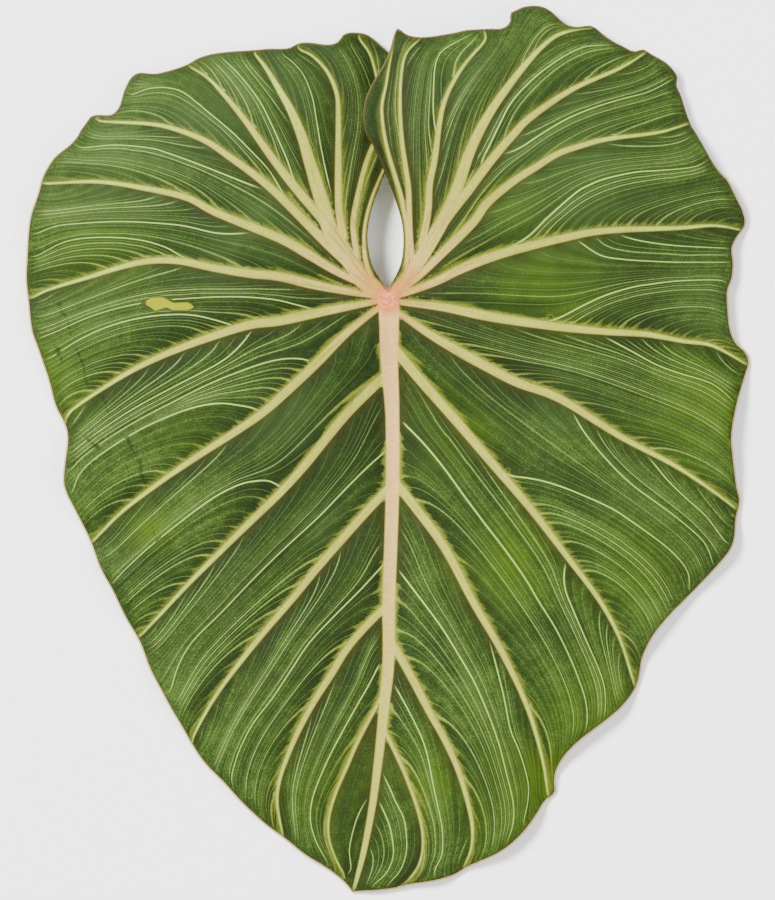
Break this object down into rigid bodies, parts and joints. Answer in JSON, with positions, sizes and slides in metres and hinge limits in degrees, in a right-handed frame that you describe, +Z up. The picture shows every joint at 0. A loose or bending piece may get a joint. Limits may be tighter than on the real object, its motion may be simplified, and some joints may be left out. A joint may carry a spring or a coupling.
{
  "type": "philodendron leaf",
  "caption": "Picked heart-shaped leaf lying face up: waved blade with ribs standing out below, overlapping lobes and a short cut stalk underneath.",
  "frame": {"origin": "centre of the leaf's box on the surface that it rests on", "axes": "+Y along the main rib, from the tip to the two lobes; +Z up, out of the upper face; +X toward the lobe that lies on top"},
  "size_m": [0.327, 0.4002, 0.0277],
  "materials": {
    "leaf_green": "velvet-matt dark green blade with cream ribs"
  },
  "bodies": {
    "root": {"leaf": "leaf_green"}
  },
  "joints": []
}
